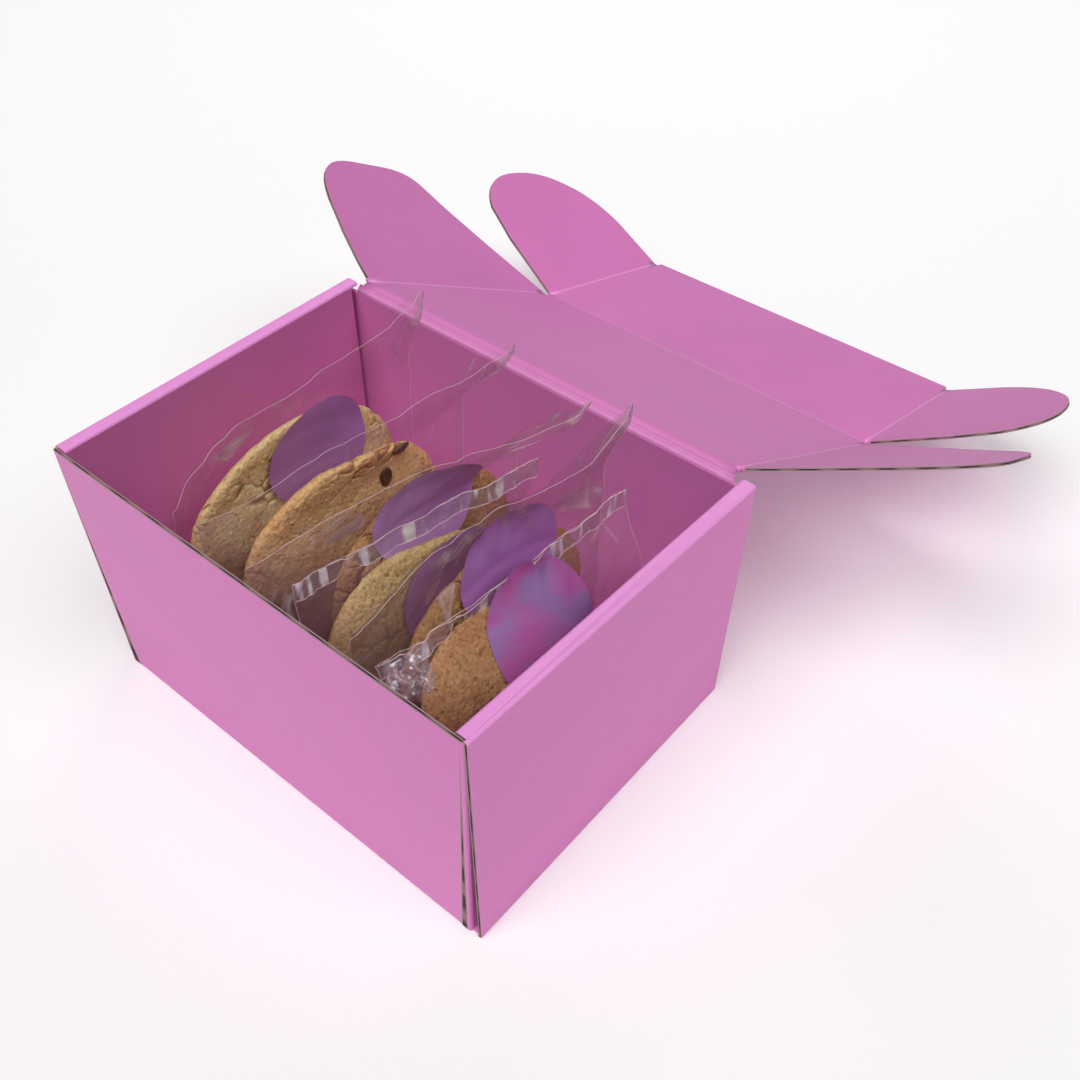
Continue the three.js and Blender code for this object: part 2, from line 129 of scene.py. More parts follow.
# %% Helpers for material graphs
class Finish:
    """A material under construction: its nodes, its links and its one Principled shader."""

    def __init__(self, name, **sockets):
        self.material = bpy.data.materials.new(name)
        self.material.use_nodes = True
        self.tree = self.material.node_tree
        self.shader = self.tree.nodes["Principled BSDF"]
        self.set(self.shader, sockets)
        self.where = self.add("ShaderNodeTexCoord").outputs["Object"]

    def set(self, node, sockets):
        for key, value in sockets.items():
            socket = node.inputs[key if isinstance(key, int) else key.replace("_", " ")]
            if isinstance(value, bpy.types.NodeSocket):
                self.tree.links.new(value, socket)
            elif isinstance(value, tuple) and len(value) == 3 and socket.type == "RGBA":
                socket.default_value = (*value, 1)
            else:
                socket.default_value = value

    def add(self, kind, settings=None, **sockets):
        node = self.tree.nodes.new(kind)
        for key, value in (settings or {}).items():
            setattr(node, key, value)
        self.set(node, sockets)
        return node

    def noise(self, scale, detail=3.0, roughness=0.5, where=None, distortion=0.0):
        return self.add("ShaderNodeTexNoise", Vector=where or self.where, Scale=scale, Detail=detail,
                        Roughness=roughness, Distortion=distortion).outputs["Fac"]

    def ramp(self, value, *stops):
        node = self.add("ShaderNodeValToRGB", Fac=value)
        elements = node.color_ramp.elements
        while len(elements) < len(stops):
            elements.new(0.5)
        for element, (position, colour) in zip(elements, stops):
            element.position = position
            element.color = (*colour, 1) if isinstance(colour, tuple) else (colour, colour, colour, 1)
        return node.outputs["Color"]

    def mix(self, share, first, second, blend="MIX"):
        node = self.add("ShaderNodeMix", {"data_type": "RGBA", "blend_type": blend})
        self.set(node, {0: share, 6: first, 7: second})
        return node.outputs[2]

    def math(self, operation, first, second=0.0, clamp=False):
        node = self.add("ShaderNodeMath", {"operation": operation, "use_clamp": clamp})
        self.set(node, {0: first, 1: second})
        return node.outputs[0]

    def stretched(self, *scale):
        """Object coordinates squeezed or stretched along each axis."""
        return self.add("ShaderNodeMapping", Vector=self.where, Scale=scale).outputs["Vector"]

    def bump(self, height, depth, strength=1.0, normal=None):
        node = self.add("ShaderNodeBump", Height=height, Distance=depth, Strength=strength)
        if normal:
            self.set(node, {"Normal": normal})
        return node.outputs["Normal"]

    def finish(self, **sockets):
        self.set(self.shader, sockets)
        return self.material


# %% [markdown]
# ### Printed board
#
# The board's outer paper carries a flat pink print with a soft sheen. Up close it is a little cloudy, has
# fine fibres, and shows the flutes inside as very faint ribs 3.3 mm apart. The ribs run up the walls, so
# the wave follows X on the lid, the front and the back. On a raw edge the brown core shows between the two
# papers, light where a flute touches them and dark with painted shade where it leaves a hollow.

# %% Board materials
def printed_board(name, colour, rib_axis, ridge_highlight=False, gloss=0.42):
    f = Finish(name, Roughness=0.5, Specular_IOR_Level=0.35)
    cloud = f.noise(14.0, 4.0, 0.6)
    fibre = f.noise(900.0, 3.0, 0.7, f.stretched(1, 0.35, 0.35))
    deep = tuple(c * 0.96 for c in colour)
    pale = tuple(min(1.0, c * 1.04) for c in colour)
    print_colour = f.ramp(cloud, (0.3, deep), (0.7, pale))
    speckled = f.mix(f.ramp(fibre, (0.35, 0.0), (0.8, 0.16)), print_colour, tuple(c * 0.7 for c in colour))
    # With ridge set, a pale line is painted down the middle of a crease strip: a painted highlight where the bend
    # catches the light.
    if ridge_highlight:
        across = f.add("ShaderNodeAttribute", {"attribute_name": "across"}).outputs["Fac"]
        crease_highlight = f.ramp(across, (0.30, 0.0), (0.46, 0.75), (0.54, 0.75), (0.70, 0.0))
        speckled = f.mix(crease_highlight, speckled, (0.95, 0.42, 0.78))
    ribs = f.add("ShaderNodeTexWave", {"bands_direction": rib_axis, "wave_profile": "SIN"},
                 Vector=f.where, Scale=1 / (20 * 3.3 * MM) * 2, Distortion=0.6, Detail=1.0, Detail_Scale=3.0)
    relief = f.bump(ribs.outputs["Fac"], 0.00006, 0.5)
    relief = f.bump(fibre, 0.00003, 0.6, relief)
    rough = f.math("MULTIPLY_ADD", cloud, 0.18)
    f.set(rough.node, {2: gloss})
    return f.finish(Base_Color=speckled, Roughness=rough, Normal=relief)


def raw_core(name):
    f = Finish(name, Roughness=0.9)
    # the dark bands are painted shade in the flutes' hollows; the light bands are the core's own brown
    along = f.add("ShaderNodeTexWave", {"bands_direction": "DIAGONAL"}, Vector=f.where,
                  Scale=1 / (20 * 3.3 * MM) * 2, Distortion=1.5, Detail=2.0, Detail_Scale=2.0)
    colour = f.ramp(along.outputs["Fac"], (0.25, (0.07, 0.04, 0.045)), (0.85, (0.34, 0.20, 0.20)))
    return f.finish(Base_Color=colour)


PINK = (0.78, 0.238, 0.585)
board_print = printed_board("board_print", PINK, "X")
# the crease strips' print carries that painted highlight line
crease_print_and_highlight = printed_board("crease_print_and_highlight", PINK, "X", ridge_highlight=True)
# The rolled tops get a lighter copy of the pink print: a painted highlight where the light falls on the rolled tops,
# not a paler print.
rolled_print_and_highlight = printed_board("rolled_print_and_highlight", (0.96, 0.36, 0.82), "Y", gloss=0.30)
core_paper = raw_core("board_core")
liner_edge = Finish("board_liner_edge", Roughness=0.8).finish(Base_Color=(0.42, 0.27, 0.30))
print("board materials are ready")

# %% [markdown]
# ## Board panels
#
# The frame's panels have the right size and outline. A copy of each gets its doubled points merged, keeps
# its flat faces whole, and has each raw edge sunk between two thin papers, by insetting the edge's faces
# and pushing the inset ones in. Where a panel meets a crease it stops 3 mm short, to leave room for the
# bent strip.

# %% Copy and dress a panel
BOARD = 1.5 * MM
LINER = 0.42 * MM
CREASE_ROOM = 2.0 * MM
OVERLAP = 0.3 * MM


def copied(node):
    bm = bmesh.new()
    bm.from_mesh(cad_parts[node].data)
    bmesh.ops.remove_doubles(bm, verts=bm.verts, dist=0.01 * MM)
    bmesh.ops.dissolve_limit(bm, angle_limit=math.radians(0.5), verts=bm.verts, edges=bm.edges)
    return bm


def sink_core(bm, raw_faces):
    """The chosen faces become two paper edges with the fluted core lying deeper between them."""
    papers = bmesh.ops.inset_region(bm, faces=raw_faces, thickness=LINER, use_even_offset=True,
                                    use_boundary=True)["faces"]
    for face in papers:
        face.material_index = 1
    sides = bmesh.ops.inset_region(bm, faces=raw_faces, thickness=0.01 * MM, depth=-0.3 * MM,
                                   use_even_offset=True, use_boundary=True)["faces"]
    for face in [*sides, *raw_faces]:
        face.material_index = 2


def panel(node, body, creases):
    """A dressed copy of a flat panel. creases holds, for each crease it hangs on or carries, a point on
    the crease and the way into the panel."""
    bm = copied(node)
    for origin, inward in creases:
        near = [v for v in bm.verts if abs((v.co - origin).dot(inward)) < 1.2 * MM]
        for v in near:
            v.co += inward * (CREASE_ROOM - (v.co - origin).dot(inward))
    largest = max(bm.faces, key=lambda face: face.calc_area())
    flat = largest.normal.copy()
    middle = largest.calc_center_median()
    across = [f for f in bm.faces if abs(f.normal.dot(flat)) < 0.3]
    hidden = {f for f in across for origin, inward in creases
              if all(abs((v.co - origin).dot(inward) - CREASE_ROOM) < 0.05 * MM for v in f.verts)}
    sink_core(bm, [f for f in across if f not in hidden])
    obj = piece(node + "_board", bm, board_print, liner_edge, core_paper, smooth_angle=30)
    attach(obj, body)
    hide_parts(node)
    print(obj.name, len(obj.data.polygons), "faces")
    return obj


# %% [markdown]
# ### The creases' places
#
# All creases come from the same few numbers as the frame: the score along the back wall, the strip up to
# the second score, and the angles at which the lid and the tuck flap rest.

# %% Crease frames
WALL_SCORE = Vector((0, 74.25, 117.0)) * MM
STRIP, STRIP_HALF = 4.4 * MM, 97.2 * MM
LID_DEPTH, LID_HALF = 141.4 * MM, 95.5 * MM
TUCK_DEPTH, TUCK_HALF = 105 * MM, 93.85 * MM
ACROSS = Vector((1, 0, 0))


def slope(degrees):
    """The way back and up, and the way square to it, for a panel that slopes at this angle."""
    turn = Matrix.Rotation(math.radians(degrees), 3, "X")
    return turn @ Vector((0, 1, 0)), turn @ Vector((0, 0, 1))


strip_along, strip_up = slope(19)
lid_along, lid_up = slope(-28.5)
tuck_along, tuck_up = slope(-15.5)
lid_score = WALL_SCORE + strip_along * STRIP
tuck_score = lid_score + lid_along * LID_DEPTH + lid_up * BOARD / 2
EAR_FOLDS = {"lid_ear_left": 25, "lid_ear_right": 24.4, "tuck_ear_left": 31.3, "tuck_ear_right": 29.2}


def ear_way(name):
    """From its crease out along an ear."""
    side = -1 if name.endswith("left") else 1
    up = lid_up if name.startswith("lid") else tuck_up
    fold = math.radians(EAR_FOLDS[name])
    return ACROSS * side * math.cos(fold) + up * math.sin(fold)


def ear_origin(name):
    side = -1 if name.endswith("left") else 1
    if name.startswith("lid"):
        return lid_score + lid_up * BOARD / 2 + ACROSS * side * LID_HALF
    return tuck_score + ACROSS * side * TUCK_HALF


print("the lid's second score is at", [round(v / MM, 2) for v in lid_score])

# %% Dress the lid, the tuck flap and the ears
lid_edges = [(lid_score, lid_along), (tuck_score, -lid_along)]
lid_edges += [(ear_origin("lid_ear_left"), ACROSS), (ear_origin("lid_ear_right"), -ACROSS)]
panel("lid_panel", "lid", lid_edges)
tuck_edges = [(tuck_score, tuck_along)]
tuck_edges += [(ear_origin("tuck_ear_left"), ACROSS), (ear_origin("tuck_ear_right"), -ACROSS)]
panel("tuck_panel", "tuck", tuck_edges)
for name in EAR_FOLDS:
    panel(name, name, [(ear_origin(name), ear_way(name))])

# %% [markdown]
# ### The tray
#
# The tray's walls and rolled tops are in the frame too. Its copy shows raw board in three places: along
# the top of the front wall, and up the front of each side wall. The back wall's top is lowered by 3 mm,
# where the crease strip takes over.

# %% Dress the tray
bm = copied("tray")
for v in bm.verts:
    if v.co.y > 73.2 * MM and abs(v.co.x) < 102 * MM and abs(v.co.z - 115.95 * MM) < 0.1 * MM:
        v.co.z = 115.0 * MM
bm.normal_update()
front_top = [f for f in bm.faces if f.normal.z > 0.9 and abs(f.calc_center_median().z - 118.8 * MM) < 0.1 * MM]
side_fronts = [f for f in bm.faces if f.normal.y < -0.9 and abs(f.calc_center_median().x) > 97 * MM
               and f.calc_center_median().y < -72 * MM and 100 < f.calc_area() / MM ** 2 < 300]
for raw in (front_top, side_fronts):
    sink_core(bm, raw)
# the rolled tops take the lighter copy of the print, a painted highlight
rolled = [f for f in bm.faces if f.material_index == 0 and f.normal.z > 0.25
          and abs(f.calc_center_median().x) > 96 * MM and f.calc_center_median().z > 110 * MM]
for face in rolled:
    face.material_index = 3
tray = piece("tray_board", bm, board_print, liner_edge, core_paper, rolled_print_and_highlight, smooth_angle=30)
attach(tray, "box")
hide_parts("tray")
print("the tray has", len(front_top), "faces along its front top and", len(side_fronts), "up its fronts")

# %% [markdown]
# ## Crease strips
#
# Board doesn't break at a fold, it bends.

# %% Bend a strip over each crease
def crease(name, corner, way_a, way_b, low, high, bodies, lift=0.0, start=None, end=None):
    """corner is a point on the fold line, way_a and way_b lead from it into the two panels, and low and
    high are the strip's two ends along the fold. lift is not used."""
    first = start or corner + way_a * (CREASE_ROOM + OVERLAP)
    last = end or corner + way_b * (CREASE_ROOM + OVERLAP)
    length = high - low
    run = max(2, int(length / (8 * MM)))

    def place(u, v):
        bent = first * (1 - v) ** 2 + corner * 2 * v * (1 - v) + last * v ** 2
        return bent + fold_line(name) * (low + length * u)

    bm = sheet(run, 10, lambda u, v: Vector((u, v, 0)))
    across = bm.verts.layers.float.new("across")
    for v in bm.verts:
        v[across] = v.co.y
        v.co = place(v.co.x, v.co.y)
    bmesh.ops.recalc_face_normals(bm, faces=bm.faces)
    # the lid's score stays plain print; the other strips carry the painted highlight line along their bend
    obj = piece(name, bm, board_print if name == "lid_score" else crease_print_and_highlight, smooth_angle=70)
    thick = obj.modifiers.new("board", "SOLIDIFY")
    thick.thickness = BOARD - 0.04 * MM
    thick.offset = 0
    return obj, first, last


def fold_line(name):
    if "ear" not in name:
        return ACROSS
    return lid_along if name.startswith("lid") else tuck_along


def applied(obj):
    """The piece with its modifiers made part of its mesh."""
    graph = bpy.context.evaluated_depsgraph_get()
    obj.data = bpy.data.meshes.new_from_object(obj.evaluated_get(graph))
    obj.modifiers.clear()
    return obj


def hang(obj, first, last, body_a, body_b):
    applied(obj)
    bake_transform(obj)
    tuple(first)
    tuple(last)
    print(obj.name, "bends between", body_a, "and", body_b)


half_way = WALL_SCORE + strip_along * STRIP / 2
wall_top = Vector((0, 74.25, 114.7)) * MM
strip = crease("wall_crease", WALL_SCORE, None, None, -STRIP_HALF, STRIP_HALF, None, start=wall_top, end=half_way)
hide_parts("hinge_strip")
hang(*strip, "box", "crease_strip")
strip = crease("lid_score", lid_score, None, lid_along, -LID_HALF, LID_HALF, None, start=half_way)
hang(*strip, "crease_strip", "lid")
# the other boards' middles lie half a board under the inner faces that their creases are drawn on
down = -(lid_up + tuck_up).normalized() * BOARD / 2
strip = crease("tuck_crease", tuck_score + down, -lid_along, tuck_along, -TUCK_HALF, TUCK_HALF, None)
hang(*strip, "lid", "tuck")
EAR_SPANS = {"lid": (1.2 * MM, 136.6 * MM), "tuck": (0.6 * MM, 101 * MM)}
for name in EAR_FOLDS:
    parent = name.split("_")[0]
    side = -1 if name.endswith("left") else 1
    up = lid_up if parent == "lid" else tuck_up
    ear = ear_way(name)
    ear_up = (up - ear * up.dot(ear)).normalized()
    under = -(up + ear_up).normalized() * BOARD / 2 / math.cos(math.radians(EAR_FOLDS[name] / 2))
    low, high = EAR_SPANS[parent]
    strip = crease(name + "_crease", ear_origin(name) + under, -ACROSS * side, ear, low, high, None)
    hang(*strip, parent, name)

# %% [markdown]
# ## The bags' shape
#
# Each bag is a flat sleeve of clear film, 130 mm wide, that hugs its cookie and closes to nothing
# around it. Its lip is cut wavy by the way it stands. The frame worked the bags out from the same values:
# where the bag stands, how far it is turned, its cookie, and the points its lip passes through.

# %% Bag values
FOOT = 1.8 * MM
TAPER = 3 * MM
BAGS = {
    1: dict(x=-63, slew=0.09, cookie=(54, -1), sealed=False,
            lip=[(-60, -57, 103), (-48, -56, 116), (-31, -54, 126), (2, -52, 128), (32, -49, 134), (64, -46, 143)]),
    2: dict(x=-34, slew=0.09, cookie=(52, -1), sealed=False,
            lip=[(-62, -39, 110), (-38, -31, 113), (-15, -24, 121), (12, -16, 124), (37, -9, 130), (66, 1, 137)]),
    3: dict(x=-6, slew=0.09, cookie=(48, 14), sealed=False,
            lip=[(-62, -14, 104), (-43, -8, 109), (-18, 1, 116), (9, 14, 121), (38, 26, 122), (68, 38, 127)]),
    4: dict(x=19.5, slew=0.08, cookie=(48.5, -14), foot=(-66.4, 54), sealed=True,
            lip=[(-60, 9, 110), (-38, 14, 111), (2, 22, 111), (22, 27, 111), (43, 31, 111)]),
    5: dict(x=41, slew=0.08, cookie=(49, 5), sealed=False,
            lip=[(-61, 38, 104), (-48, 40, 112), (-27, 43, 121), (2, 47, 124), (32, 52, 121), (66, 57, 137)]),
    6: dict(x=68, slew=0.07, cookie=(46, -17), foot=(-66.4, 58), sealed=True,
            lip=[(-60, 48, 97), (-38, 53, 99), (2, 57, 101), (32, 60, 103), (57, 62, 104)]),
}


class Bag:
    def __init__(self, number, x, slew, cookie, sealed, lip, foot=None):
        self.number, self.x, self.slew, self.sealed = number, x * MM, slew, sealed
        self.radius, self.back = (v * MM for v in cookie)
        self.lip_points = [Vector((lx, ly, lz)) * MM for ly, lx, lz in lip]
        low, high = self.lip_points[0].y + TAPER, self.lip_points[-1].y - TAPER
        self.foot = tuple(v * MM for v in foot) if foot else (low, high)
        self.middle = Vector((0, self.back, FOOT + 2 * MM + self.radius))

    def lip(self, s):
        """The lip's point at a share s of its run, by a smooth curve through the lip's points."""
        points = self.lip_points
        where = min(max(s, 0.0), 1.0) * (len(points) - 1)
        i = min(int(where), len(points) - 2)
        t = where - i
        a, b = points[i], points[i + 1]
        before = points[i - 1] if i else a * 2 - b
        after = points[i + 2] if i + 2 < len(points) else b * 2 - a
        return 0.5 * (2 * a + (b - before) * t + (2 * before - 5 * a + 4 * b - after) * t ** 2
                      + (3 * a - before - 3 * b + after) * t ** 3)

    def sheet_middle(self, s, v):
        """The point halfway between the two films, at a share s along the bag and v up it."""
        top = self.lip(s)
        low_y = self.foot[0] * (1 - s) + self.foot[1] * s
        y = low_y * (1 - v) + top.y * v
        z = FOOT * (1 - v) + top.z * v
        lean = smooth_step(v, 0.68, 1.0)
        x = (self.x + self.slew * y) * (1 - lean) + top.x * lean
        return Vector((x, y, z))

    def lean_at(self, y, z):
        """The X of the bag's middle at a spot of the cookie."""
        first, last = self.lip_points[0].y, self.lip_points[-1].y
        s = min(max((y - first) / (last - first), 0.0), 1.0)
        top = self.lip(s)
        lean = smooth_step((z - FOOT) / (top.z - FOOT), 0.68, 1.0)
        return (self.x + self.slew * y) * (1 - lean) + top.x * lean

    def half(self, y, z):
        """How far each film stands from the bag's middle: over the cookie, and falling away around it."""
        away = math.hypot(y - self.middle.y, z - self.middle.z) / self.radius
        over = COOKIE_HALF * (1 - min(away, 1.0) ** 3.4) ** 0.55
        tent = COOKIE_HALF * 0.52 * (1 - smooth_step(away, 0.86, 1.28))
        return max(over, tent, 0.0) + FILM_CLEARANCE


COOKIE_HALF = 8.2 * MM
FILM_CLEARANCE = 0.5 * MM
bags = {number: Bag(number, **values) for number, values in BAGS.items()}
print(len(bags), "bags; the highest lip is", round(max(p.z for b in bags.values() for p in b.lip_points) / MM), "mm up")

# %% [markdown]
# ## Cookies
#
# A thick bakery cookie is a squat lump of dough that spread and cracked. Each starts as a fine icosphere,
# because its faces are even all round, and is pressed into a disc. Layers of noise then move its points:
# a slow one makes the outline uneven, cells give it low lumps with a crack here and there between them,
# and a fine one makes crumb. The cracks and pits are kept as an attribute, so that painted shade darkens them.

# %% Cookie material
def baked(name, crust, pale, edge):
    f = Finish(name, Roughness=0.75, Specular_IOR_Level=0.25)
    deep = f.add("ShaderNodeAttribute", {"attribute_name": "deep"}).outputs["Fac"]
    rim = f.add("ShaderNodeAttribute", {"attribute_name": "rim"}).outputs["Fac"]
    patches = f.noise(70.0, 5.0, 0.65)
    crumb = f.noise(700.0, 4.0, 0.7)
    specks = f.add("ShaderNodeTexVoronoi", Vector=f.where, Scale=260.0).outputs["Distance"]
    body = f.mix(f.ramp(patches, (0.36, 0.0), (0.62, 1.0)), crust, pale)
    body = f.mix(f.ramp(rim, (0.3, 0.0), (1.0, 0.6)), body, edge)
    body = f.mix(f.ramp(crumb, (0.48, 0.0), (0.70, 0.55)), body, tuple(min(1.0, c * 1.3) for c in pale))
    body = f.mix(f.ramp(crumb, (0.34, 0.8), (0.45, 0.0)), body, tuple(c * 0.55 for c in crust))
    body = f.mix(f.ramp(specks, (0.10, 0.75), (0.24, 0.0)), body, tuple(c * 0.42 for c in crust))
    # painted shade: the colour darkens deep in the cracks and pits
    body = f.mix(f.ramp(deep, (0.25, 0.0), (0.9, 0.8)), body, tuple(c * 0.45 for c in edge))
    grains = f.add("ShaderNodeTexVoronoi", Vector=f.where, Scale=420.0).outputs["Distance"]
    relief = f.bump(crumb, 0.0010, 0.9)
    relief = f.bump(grains, 0.0004, 0.6, relief)
    return f.finish(Base_Color=body, Normal=relief, Subsurface_Weight=0.05, Subsurface_Radius=(0.004, 0.002, 0.001),
                    Subsurface_Scale=0.5)


# Cookies 1 and 2 sit deep in the box, where little light reaches them. Their golden and tan dough is their own colour
# made much paler and brighter than baked dough: painted light.
lightened_golden = baked("golden_cookie", (0.88, 0.60, 0.27), (0.97, 0.80, 0.46), (0.72, 0.42, 0.17))
pale = baked("pale_cookie", (0.58, 0.38, 0.16), (0.74, 0.57, 0.29), (0.44, 0.25, 0.10))
lightened_tan = baked("tan_cookie", (0.92, 0.52, 0.23), (0.97, 0.68, 0.36), (0.74, 0.36, 0.14))
brown = baked("brown_cookie", (0.46, 0.235, 0.10), (0.62, 0.37, 0.18), (0.36, 0.16, 0.065))
f = Finish("chocolate", Roughness=0.42)
melt = f.noise(240.0, 4.0, 0.6)
chocolate = f.finish(Base_Color=f.ramp(melt, (0.3, (0.07, 0.036, 0.026)), (0.7, (0.17, 0.09, 0.06))),
                     Normal=f.bump(melt, 0.0006, 0.7))

# %% Shape a cookie
def craggy(point, seed):
    """How high the dough stands at a point, in millimetres, and how deep in a crack or pit it is, 0 to 1."""
    offset = Vector((seed * 31.7, seed * 13.3, seed * 7.9))
    bent = point + 2.2 * MM * noise.noise_vector(point / (7 * MM) + offset)
    cells = noise.voronoi(bent / (15 * MM) + offset)[0]
    open_here = smooth_step(noise.noise(point / (21 * MM) + offset), 0.0, 0.35)
    crack = (1 - smooth_step(cells[1] - cells[0], 0.0, 0.09)) * open_here
    pits = noise.voronoi(point / (3.6 * MM) + offset)[0]
    pit = (1 - smooth_step(pits[0], 0.10, 0.30)) * smooth_step(noise.noise(point / (7 * MM) - offset), 0.05, 0.35)
    lump = 0.8 * (0.5 - cells[0] ** 2) * open_here
    slow = 1.2 * wobble(point / (30 * MM), seed) + 0.45 * wobble(point / (12 * MM), seed + 9, 2)
    fine = 0.32 * wobble(point / (4.5 * MM), seed + 20, 2) + 0.2 * wobble(point / (1.7 * MM), seed + 40, 2)
    return slow + lump + fine - 1.1 * crack - 0.6 * pit, max(crack, pit)


def cookie(number, material):
    bag = bags[number]
    bm = bmesh.new()
    bmesh.ops.create_icosphere(bm, subdivisions=7, radius=1)
    deep_layer = bm.verts.layers.float.new("deep")
    rim_layer = bm.verts.layers.float.new("rim")
    for v in bm.verts:
        out = v.co.copy()
        flat = math.hypot(out.y, out.z)
        # a squared-off section: the faces stay broad and the rim stands up before it turns over
        reach = min(1.0, flat) ** 0.85
        share = reach / flat if flat else 0.0
        thick = max(0.0, 1 - reach ** 4.0) ** 0.5
        spot = Vector((math.copysign(thick, out.x) * COOKIE_HALF * 0.80, out.y * share * bag.radius * 0.97,
                       out.z * share * bag.radius * 0.97))
        rise, deep = craggy(spot, number)
        way = Vector((out.x * 0.7, out.y, out.z)).normalized()
        spot += way * rise * MM
        v[deep_layer] = deep
        v[rim_layer] = smooth_step(reach, 0.62, 1.0)
        y, z = spot.y + bag.middle.y, max(spot.z + bag.middle.z, FOOT + 0.4 * MM)
        room = bag.half(y, z) - 0.3 * MM
        v.co = Vector((bag.lean_at(y, z) + max(-room, min(room, spot.x)), y, z))
    obj = piece(f"cookie_{number}", bm, material, smooth_angle=80)
    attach(obj, "box")
    print(obj.name, len(obj.data.polygons), "faces, radius", round(bag.radius / MM), "mm")
    return obj


# cookies 1 and 2 take the brightened dough, painted light on top of their own colour
COOKIE_FINISH = {1: lightened_golden, 2: lightened_tan, 3: brown, 4: pale, 5: brown, 6: brown}
for number, finish in COOKIE_FINISH.items():
    cookie(number, finish)

# %% Chunks of chocolate
def chunk(name, number, y, z, long, tall):
    """A melted chunk, sunk in a cookie's face. long and tall are half its size in millimetres."""
    bag = bags[number]
    bm = bmesh.new()
    bmesh.ops.create_icosphere(bm, subdivisions=4, radius=1)
    away = math.hypot(y * MM - bag.middle.y, z * MM - bag.middle.z) / bag.radius / 0.97
    face = max(0.0, 1 - min(away, 1.0) ** 4.0) ** 0.5 * COOKIE_HALF * 0.80
    for v in bm.verts:
        grown = v.co * (1 + 0.14 * wobble(v.co * 0.9, number + y))
        spot_y, spot_z = (y + grown.y * long) * MM, (z + grown.z * tall) * MM
        room = bag.half(spot_y, spot_z) - 0.3 * MM
        v.co = Vector((bag.lean_at(spot_y, spot_z) + min(room, face + 0.5 * MM + grown.x * 1.6 * MM), spot_y, spot_z))
    obj = piece(name, bm, chocolate, smooth_angle=80)
    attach(obj, "box")
    print(obj.name, "sits on cookie", number)


chunk("chunk_2_high", 2, 26, 96, 4.4, 3.0)
chunk("chunk_2_low", 2, 17, 87, 2.8, 5.0)

# %% [markdown]
# ## Film
#
# The bags are clear polypropylene, a few hundredths of a millimetre thick, so one grid stands for each of
# the two films. Clear film is hardly seen where it lies on the cookie. Where it hangs free it is a little
# milky, it turns opaque at a slant, and folds leave whitish lines, partly stress-whitened film and partly
# painted highlights. Attributes say where film hangs free, where a fold runs, and where painted shade lies.

# %% Film materials
def clear_film(name, tint, glint, free_share, slant_share, fold_and_glint_share):
    f = Finish(name, Roughness=0.1, IOR=1.49, Specular_IOR_Level=0.9)
    free = f.add("ShaderNodeAttribute", {"attribute_name": "free"}).outputs["Fac"]
    fold = f.add("ShaderNodeAttribute", {"attribute_name": "fold"}).outputs["Fac"]
    slant = f.add("ShaderNodeLayerWeight", Blend=0.3).outputs["Facing"]
    haze = f.noise(60.0, 3.0, 0.6)
    crinkle = f.noise(150.0, 2.0, 0.5, f.stretched(1.0, 1.0, 0.3))
    hanging = f.math("MULTIPLY", free, f.ramp(haze, (0.3, free_share * 0.6), (0.7, free_share)))
    slanted = f.math("MULTIPLY", f.ramp(slant, (0.25, 0.0), (1.0, slant_share)), f.ramp(free, (0.0, 0.3), (1.0, 1.0)))
    fold_and_glint = f.math("MULTIPLY", fold, fold_and_glint_share)
    # painted shade: low in front of bags 2, 3 and 4 the shade attribute thickens the film and turns it dark brown
    shade = f.add("ShaderNodeAttribute", {"attribute_name": "shade"}).outputs["Fac"]
    shaded = f.math("MULTIPLY", shade, 0.34)
    cover = f.math("ADD", f.math("ADD", hanging, slanted), f.math("ADD", fold_and_glint, shaded), clamp=True)
    tint = f.mix(shade, tint, (0.15, 0.075, 0.06))
    # the fold attribute mixes in the glint colour and more cover: whitish folds, partly stress-whitened film and partly
    # painted highlights
    return f.finish(Base_Color=f.mix(fold, tint, glint), Alpha=cover, Normal=f.bump(crinkle, 0.0010, 0.4))


film = clear_film("clear_film", (0.60, 0.31, 0.40), (0.95, 0.82, 0.88), 0.11, 0.20, 0.60)
# bag 5's film is a darker, browner copy of the clear film: painted shade on the film hanging in front of its cookie
shaded_film = clear_film("shaded_film", (0.34, 0.19, 0.19), (0.85, 0.74, 0.76), 0.17, 0.24, 0.60)
# the crimped film's near-white glint colour paints glints on its streaks and folds
seal_film = clear_film("crimped_film", (0.50, 0.42, 0.48), (1.0, 0.97, 1.0), 0.34, 0.5, 0.85)
lip_edge = Finish("film_lip_edge", Roughness=0.3, Alpha=0.75).finish(Base_Color=(0.74, 0.54, 0.58))

# %% Wrinkles
# places (y and z in millimetres) where a film gets a painted highlight: a pale crumpled patch, by its corners, or a
# long fold
GLEAMS = {
    1: [[(59, 126), (66, 146), (75, 120)], [(-40, 117), (-20, 122), (-34, 112)]],
    2: [[(66, 112), (70, 138), (60, 128)], [(52, 134), (39, 104)]],
    3: [[(-33, 98.7), (-18, 107.5), (-17, 100.8), (-30, 97.9)], [(58, 130), (46, 105)], [(60, 120), (68, 127), (66, 112)]],
    5: [[(51, 117), (64, 136), (66, 122)], [(33, 101), (54, 107), (57, 85)], [(-24.4, 97.6), (-17, 100.5), (-22.4, 81)],
        [(-20.8, 119), (-22.5, 107.5), (-19, 116.8)]],
}


